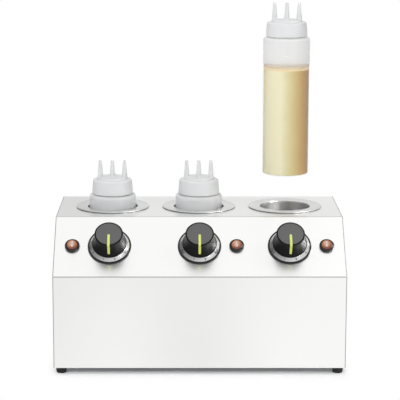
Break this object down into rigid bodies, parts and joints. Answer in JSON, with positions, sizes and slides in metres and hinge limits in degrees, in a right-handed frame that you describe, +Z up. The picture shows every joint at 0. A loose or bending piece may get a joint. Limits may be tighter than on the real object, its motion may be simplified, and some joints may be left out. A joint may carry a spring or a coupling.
{
  "type": "squeeze bottle sauce warmer",
  "caption": "Electric counter-top warmer that keeps squeeze bottles of sauce hot in dry wells, with a thermostat dial and a lit rocker switch for each well.",
  "frame": {"origin": "middle of the cabinet's footprint, on the surface that the feet stand on", "axes": "+Z up, -Y towards the front with the dials, +X to the right as seen from the front"},
  "size_m": [0.42, 0.2344, 0.5218],
  "materials": {
    "cabinet_steel": "fine brushed, satin",
    "plate_steel": "galvanised, matt",
    "well_steel": "deep drawn, bright satin",
    "zinc_fastener": "zinc plated",
    "seal_silicone": "matt",
    "heater_band": "mill finish over mica",
    "thermostat_case": "moulded",
    "capillary_copper": "drawn copper",
    "shaft_steel": "turned",
    "dial_black": "semi-gloss",
    "dial_silver": "satin",
    "knob_black": "satin, moulded",
    "pointer_lime": "moulded insert",
    "switch_black": "gloss",
    "rocker_amber": "tinted, clear",
    "bottle_ldpe": "blow moulded, cloudy",
    "cap_ldpe": "injection moulded, cloudy",
    "sauce_cream": "smooth sauce",
    "foot_rubber": "moulded",
    "inlet_black": "moulded",
    "pin_brass": "bright",
    "terminal_ceramic": "off-white"
  },
  "bodies": {
    "cabinet": {"side_panel_left": "cabinet_steel", "side_panel_right": "cabinet_steel", "top_panel": "cabinet_steel", "front_panel": "cabinet_steel", "rear_panel": "cabinet_steel", "base_plate": "plate_steel", "well_seals": "seal_silicone", "well_nuts": "zinc_fastener", "thermostat_screws": "zinc_fastener", "foot_screws": "zinc_fastener", "housing_screws": "zinc_fastener", "bulb_clips": "zinc_fastener", "well_1": "well_steel", "heater_band_1": "heater_band", "thermostat_1": "thermostat_case", "capillary_1": "capillary_copper", "dial_rim_1": "dial_black", "dial_scale_1": "dial_silver", "switch_body_1": "switch_black", "well_2": "well_steel", "heater_band_2": "heater_band", "thermostat_2": "thermostat_case", "capillary_2": "capillary_copper", "dial_rim_2": "dial_black", "dial_scale_2": "dial_silver", "switch_body_2": "switch_black", "well_3": "well_steel", "heater_band_3": "heater_band", "thermostat_3": "thermostat_case", "capillary_3": "capillary_copper", "dial_rim_3": "dial_black", "dial_scale_3": "dial_silver", "switch_body_3": "switch_black", "foot_1": "foot_rubber", "foot_2": "foot_rubber", "foot_3": "foot_rubber", "foot_4": "foot_rubber", "power_inlet": "inlet_black", "inlet_pins": "pin_brass", "terminal_block": "terminal_ceramic"},
    "knob_1": {"knob_1": "knob_black", "knob_pointer_1": "pointer_lime", "thermostat_shaft_1": "shaft_steel"},
    "knob_2": {"knob_2": "knob_black", "knob_pointer_2": "pointer_lime", "thermostat_shaft_2": "shaft_steel"},
    "knob_3": {"knob_3": "knob_black", "knob_pointer_3": "pointer_lime", "thermostat_shaft_3": "shaft_steel"},
    "rocker_1": {"switch_rocker_1": "rocker_amber"},
    "rocker_2": {"switch_rocker_2": "rocker_amber"},
    "rocker_3": {"switch_rocker_3": "rocker_amber"},
    "bottle_1": {"bottle_body_1": "bottle_ldpe"},
    "cap_1": {"bottle_cap_1": "cap_ldpe"},
    "bottle_2": {"bottle_body_2": "bottle_ldpe"},
    "cap_2": {"bottle_cap_2": "cap_ldpe"},
    "bottle_3": {"bottle_body_3": "bottle_ldpe", "sauce_3": "sauce_cream"},
    "cap_3": {"bottle_cap_3": "cap_ldpe"}
  },
  "joints": [
    {"name": "knob_1_turn", "type": "hinge", "parent": "cabinet", "child": "knob_1", "pos_m": [-0.13, -0.077, 0.1795], "axis": [0, 0.6731, -0.7395], "range_deg": [0, 342]},
    {"name": "knob_2_turn", "type": "hinge", "parent": "cabinet", "child": "knob_2", "pos_m": [0, -0.077, 0.1795], "axis": [0, 0.6731, -0.7395], "range_deg": [0, 342]},
    {"name": "knob_3_turn", "type": "hinge", "parent": "cabinet", "child": "knob_3", "pos_m": [0.13, -0.077, 0.1795], "axis": [0, 0.6731, -0.7395], "range_deg": [0, 342]},
    {"name": "rocker_1_tip", "type": "hinge", "parent": "cabinet", "child": "rocker_1", "pos_m": [-0.18375, -0.07781, 0.18039], "axis": [1, 0, 0], "range_deg": [-14, 0]},
    {"name": "rocker_2_tip", "type": "hinge", "parent": "cabinet", "child": "rocker_2", "pos_m": [0.05375, -0.07781, 0.18039], "axis": [1, 0, 0], "range_deg": [-14, 0]},
    {"name": "rocker_3_tip", "type": "hinge", "parent": "cabinet", "child": "rocker_3", "pos_m": [0.18375, -0.07781, 0.18039], "axis": [1, 0, 0], "range_deg": [-14, 0]},
    {"name": "bottle_1_lift", "type": "slide", "parent": "cabinet", "child": "bottle_1", "axis": [0, 0, 1], "range_m": [0, 0.24]},
    {"name": "cap_1_lift", "type": "slide", "parent": "bottle_1", "child": "cap_1", "axis": [0, 0, 1], "range_m": [0, 0.06]},
    {"name": "bottle_2_lift", "type": "slide", "parent": "cabinet", "child": "bottle_2", "axis": [0, 0, 1], "range_m": [0, 0.24]},
    {"name": "cap_2_lift", "type": "slide", "parent": "bottle_2", "child": "cap_2", "axis": [0, 0, 1], "range_m": [0, 0.06]},
    {"name": "bottle_3_lift", "type": "slide", "parent": "cabinet", "child": "bottle_3", "axis": [0, 0, 1], "range_m": [-0.2365, 0]},
    {"name": "cap_3_lift", "type": "slide", "parent": "bottle_3", "child": "cap_3", "axis": [0, 0, 1], "range_m": [0, 0.06]}
  ]
}
